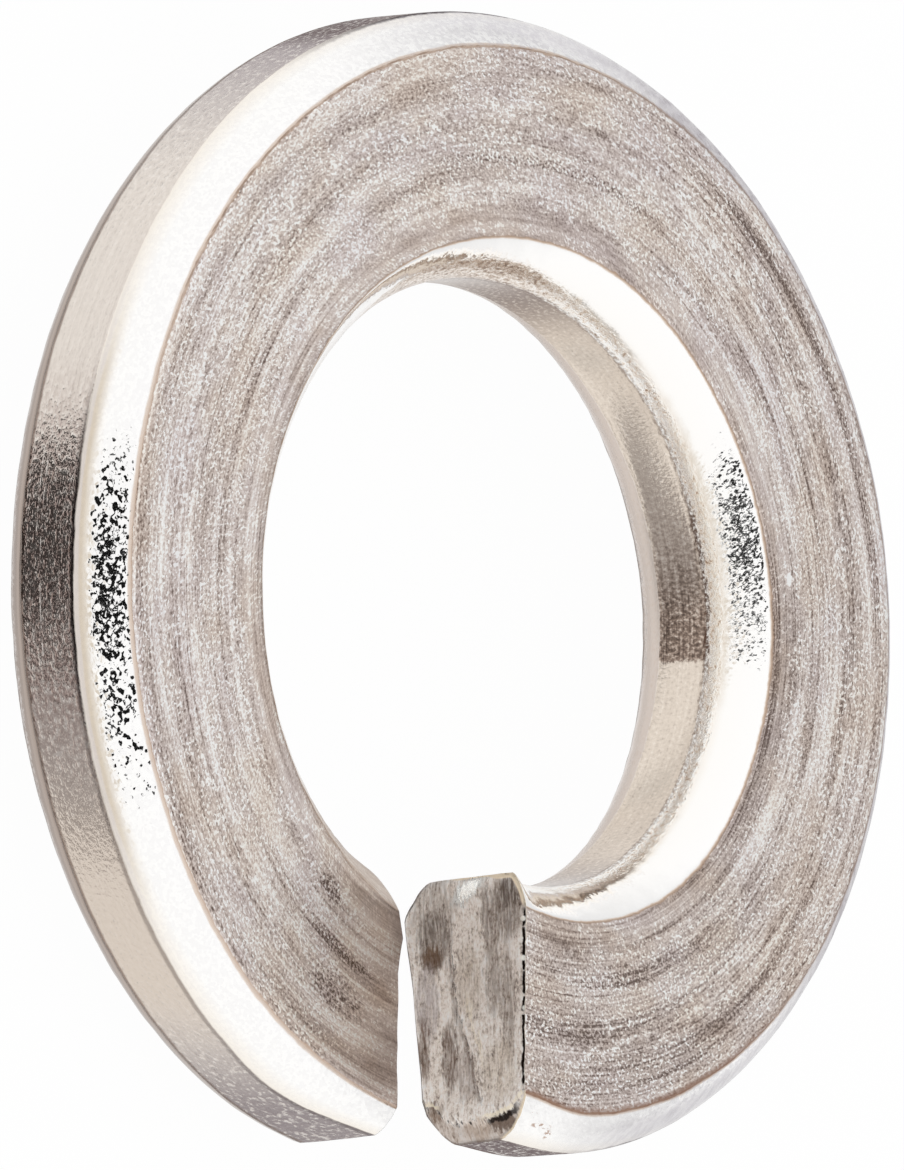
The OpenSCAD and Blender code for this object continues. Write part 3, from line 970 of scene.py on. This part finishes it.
# ---------------------------------------------------------------- camera
camera_place = Vector((-308.514, -108.408, 281.741)) * MM
camera_right = Vector((0.638678, 0.138539, 0.756900))
camera_up = Vector((-0.280713, 0.957816, 0.061554))
camera_back = camera_right.cross(camera_up).normalized()
camera_up = camera_back.cross(camera_right).normalized()
camera_data = bpy.data.cameras.new("camera")
camera = bpy.data.objects.new("camera", camera_data)
bpy.context.scene.collection.objects.link(camera)
turn = Matrix((camera_right.normalized(), camera_up, camera_back)).transposed()
camera.matrix_world = Matrix.Translation(camera_place) @ turn.to_4x4()
camera_data.sensor_fit = "AUTO"
camera_data.sensor_width = 36
camera_data.lens = 40000 * 36 / 1170
camera_data.clip_start = 0.01
camera_data.clip_end = 20
bpy.context.scene.camera = camera

# ---------------------------------------------------------------- stage
LIFT = -0.00001


def direction(azimuth, elevation):
    """A unit vector; azimuth as in the frame's views, elevation above the horizon."""
    return Vector((math.sin(azimuth) * math.cos(elevation), -math.cos(azimuth) * math.cos(elevation),
                   math.sin(elevation)))


VIEW_AZIMUTH = math.atan2(camera_back.x, -camera_back.y)
VIEW_ELEVATION = math.asin(camera_back.z)


def flat_card(name, size, place, facing, material):
    mesh = bpy.data.meshes.new(name)
    half = [s / 2 for s in size]
    signs = ((-1, -1), (1, -1), (1, 1), (-1, 1))
    mesh.from_pydata([(half[0] * x, half[1] * y, 0) for x, y in signs], [], [(0, 1, 2, 3)])
    card = bpy.data.objects.new(name, mesh)
    bpy.context.scene.collection.objects.link(card)
    card.location = place
    card.rotation_mode = "QUATERNION"
    card.rotation_quaternion = Vector(facing).to_track_quat("Z", "Y")
    mesh.materials.append(material)
    return card


def floor_material():
    """White to the camera with a faint shadow; in the metal, a pale table with a slight gloss
    that is greyer far behind the washer. From below it is clear, so the underside can be seen."""
    n = Nodes("pale_floor")
    path = n.add("ShaderNodeLightPath")
    seen = n.most(path.outputs["Is Camera Ray"], path.outputs["Is Transmission Ray"])
    diffuse = n.add("ShaderNodeBsdfDiffuse", {"Color": (0.92, 0.92, 0.92, 1)})
    glow = n.add("ShaderNodeEmission", {"Color": (1, 1, 1, 1), "Strength": 1.0})
    place = n.add("ShaderNodeTexCoord").outputs["Object"]
    away = n.add("ShaderNodeVectorMath", {0: place}, operation="LENGTH").outputs["Value"]
    towards = n.add("ShaderNodeVectorMath", {0: place, 1: direction(VIEW_AZIMUTH + math.pi, 0)},
                    operation="DOT_PRODUCT").outputs["Value"]
    behind = n.ramp(n.math("DIVIDE", towards, away), math.cos(math.radians(62)), math.cos(math.radians(20)))
    behind = n.times(behind, n.ramp(away, 7 * MM, 13 * MM))
    table_colour = n.mix(behind, (255, 255, 255), (224, 222, 226))
    table = n.add("ShaderNodeEmission", {"Color": table_colour, "Strength": 1.0})
    mirror = n.add("ShaderNodeBsdfGlossy", {"Color": (0.97, 0.97, 0.97, 1), "Roughness": 0.04})
    reflected = n.add("ShaderNodeMixShader", {0: 0.75, 1: mirror.outputs[0], 2: table.outputs[0]})
    plain = n.add("ShaderNodeMixShader", {0: n.times(seen, 0.97), 1: diffuse.outputs[0], 2: glow.outputs[0]})
    mirrored = path.outputs["Is Glossy Ray"]
    front = n.add("ShaderNodeMixShader", {0: mirrored, 1: plain.outputs[0], 2: reflected.outputs[0]})
    below = n.add("ShaderNodeNewGeometry").outputs["Backfacing"]
    clear = n.add("ShaderNodeBsdfTransparent")
    return n.output(n.add("ShaderNodeMixShader", {0: below, 1: front.outputs[0], 2: clear.outputs[0]}))


def grey_material(name, grey):
    n = Nodes(name)
    return n.output(n.add("ShaderNodeEmission", {"Color": (1, 0.97, 0.98, 1), "Strength": grey}))


floor = flat_card("floor", (4, 4), (0, 0, LIFT), (0, 0, 1), floor_material())


def disc(name, reach, place, facing, material, turn=0.0):
    """An oval card that only shows in reflections."""
    mesh = bpy.data.meshes.new(name)
    points = [(reach[0] * math.cos(a) * math.cos(turn) - reach[1] * math.sin(a) * math.sin(turn),
               reach[0] * math.cos(a) * math.sin(turn) + reach[1] * math.sin(a) * math.cos(turn), 0)
              for a in np.linspace(0, 2 * math.pi, 48, endpoint=False)]
    mesh.from_pydata(points, [], [tuple(range(48))])
    card = bpy.data.objects.new(name, mesh)
    bpy.context.scene.collection.objects.link(card)
    card.location = place
    card.rotation_mode = "QUATERNION"
    card.rotation_quaternion = Vector(facing).to_track_quat("Z", "Y")
    mesh.materials.append(material)
    for flag in ("visible_camera", "visible_diffuse", "visible_transmission", "visible_shadow"):
        setattr(card, flag, False)
    return card


GAP_DISTANCE, GAP_SPREAD, GAP_HEIGHT, GAP_RISE = 0.4, math.radians(14.8), math.radians(20), math.radians(10.5)
gap_direction = direction(VIEW_AZIMUTH, VIEW_ELEVATION + GAP_RISE)
gap_reach = (GAP_DISTANCE * math.tan(GAP_SPREAD), GAP_DISTANCE * math.tan(GAP_HEIGHT))
tent_gap = disc("tent_gap", gap_reach, gap_direction * GAP_DISTANCE, -gap_direction,
                grey_material("tent_gap", 0.004))
# The gap's own reflection in the glossy table, as the rim and the bore mirror it. Each card's
# place is the angle around the ring it lies at and its distance from the middle.
TABLE_CARDS = {
    "rim_shade": (282.0, 7.9, (1.4, 2.2), 0.08), "rim_half_shade": (303.0, 8.0, (1.4, 2.4), 0.48),
    "bore_shade": (104.5, 1.0, (0.9, 0.30), 0.45),
}
CARD_LIFT = Vector((0, 0, 0.02 * MM))
for card_name, (ring_angle, distance, reach, grey) in TABLE_CARDS.items():
    outwards = direction(math.radians(ring_angle), 0)
    card_place = outwards * distance * MM + CARD_LIFT
    disc(card_name, [r * MM for r in reach], card_place, (0, 0, 1),
                            grey_material(card_name, grey), math.atan2(outwards.y, outwards.x))

# The studio tent: white, greyer at the horizon and on the side the top face mirrors.
world = bpy.data.worlds.new("studio")
bpy.context.scene.world = world
world.use_nodes = True
tree = world.node_tree
tree.nodes.clear()


def tent_node(kind, inputs=None, **settings):
    node = tree.nodes.new(kind)
    for key, value in settings.items():
        setattr(node, key, value)
    for key, value in (inputs or {}).items():
        if isinstance(value, bpy.types.NodeSocket):
            tree.links.new(value, node.inputs[key])
        else:
            node.inputs[key].default_value = value
    return node


def smooth_range(value, start, end, low, high):
    """A smooth step between two values of the tent's own coordinates."""
    return tent_node("ShaderNodeMapRange", {0: value, 1: start, 2: end, 3: low, 4: high},
                     interpolation_type="SMOOTHSTEP").outputs[0]


def facing(side):
    """How nearly the tent is looked at along a direction."""
    return tent_node("ShaderNodeVectorMath", {0: looking, 1: side}, operation="DOT_PRODUCT").outputs["Value"]


def cosine(degrees):
    return math.cos(math.radians(degrees))


looking = tent_node("ShaderNodeTexCoord").outputs["Generated"]
far_side = direction(VIEW_AZIMUTH + math.pi, math.radians(18))
far_grey = smooth_range(facing(far_side), cosine(62), cosine(14), 1.0, 0.78)
level = tent_node("ShaderNodeSeparateXYZ", {0: looking}).outputs[2]
from_horizon = tent_node("ShaderNodeMath", {0: level}, operation="ABSOLUTE").outputs[0]
low_down = smooth_range(from_horizon, 0.12, 0.46, 1.0, 0.0)
near_side = smooth_range(facing(direction(VIEW_AZIMUTH, 0)), cosine(62), cosine(28), 0.0, 1.0)
near_low = tent_node("ShaderNodeMath", {0: low_down, 1: near_side}, operation="MULTIPLY").outputs[0]
tint = tent_node("ShaderNodeMix", data_type="RGBA")
tree.links.new(near_low, tint.inputs[0])
tint.inputs[6].default_value = (1, 1, 1, 1)
tint.inputs[7].default_value = (0.70, 0.64, 0.56, 1)
background = tent_node("ShaderNodeBackground", {"Color": tint.outputs[2], "Strength": far_grey})
tree.links.new(background.outputs[0], tent_node("ShaderNodeOutputWorld").inputs[0])

scene = bpy.context.scene
scene.view_settings.view_transform = "Standard"
